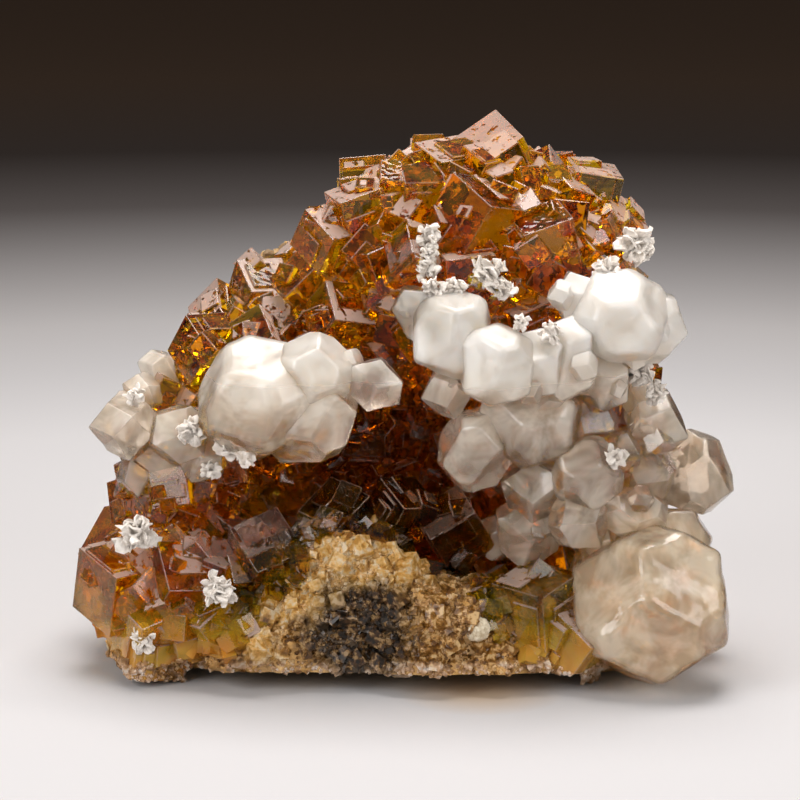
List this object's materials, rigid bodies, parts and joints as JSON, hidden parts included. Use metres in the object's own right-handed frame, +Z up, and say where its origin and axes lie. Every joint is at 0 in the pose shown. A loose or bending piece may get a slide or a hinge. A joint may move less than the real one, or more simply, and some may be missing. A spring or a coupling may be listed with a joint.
{
  "type": "calcite on fluorite mineral specimen",
  "caption": "Amber fluorite cubes on broken matrix rock, with groups of blunt milky calcite crystals and small white blade tufts; stands on its flat-cut underside.",
  "frame": {"origin": "a point on the flat-cut underside of the matrix rock, below the middle of the specimen", "axes": "+X to the right as seen from the front, +Y from the front to the back, +Z up; -Z is the outward normal of the cut underside"},
  "size_m": [0.1322, 0.0733, 0.1109],
  "materials": {
    "matrix": "rough, sugary",
    "fluorite": "clear amber, faintly frosted",
    "calcite": "milky to clear, glossy",
    "blades": "matt white",
    "nodule": "matt"
  },
  "bodies": {
    "root": {"matrix_rock": "matrix", "fluorite_cluster": "fluorite", "calcite_cluster_right": "calcite", "calcite_group_left": "calcite", "calcite_group_edge": "calcite", "calcite_crystal_behind": "calcite", "blade_tuft_1": "blades", "blade_tuft_2": "blades", "blade_tuft_3": "blades", "blade_tuft_4": "blades", "blade_tuft_5": "blades", "blade_tuft_6": "blades", "blade_tuft_7": "blades", "blade_tuft_8": "blades", "nodule": "nodule"}
  },
  "joints": []
}
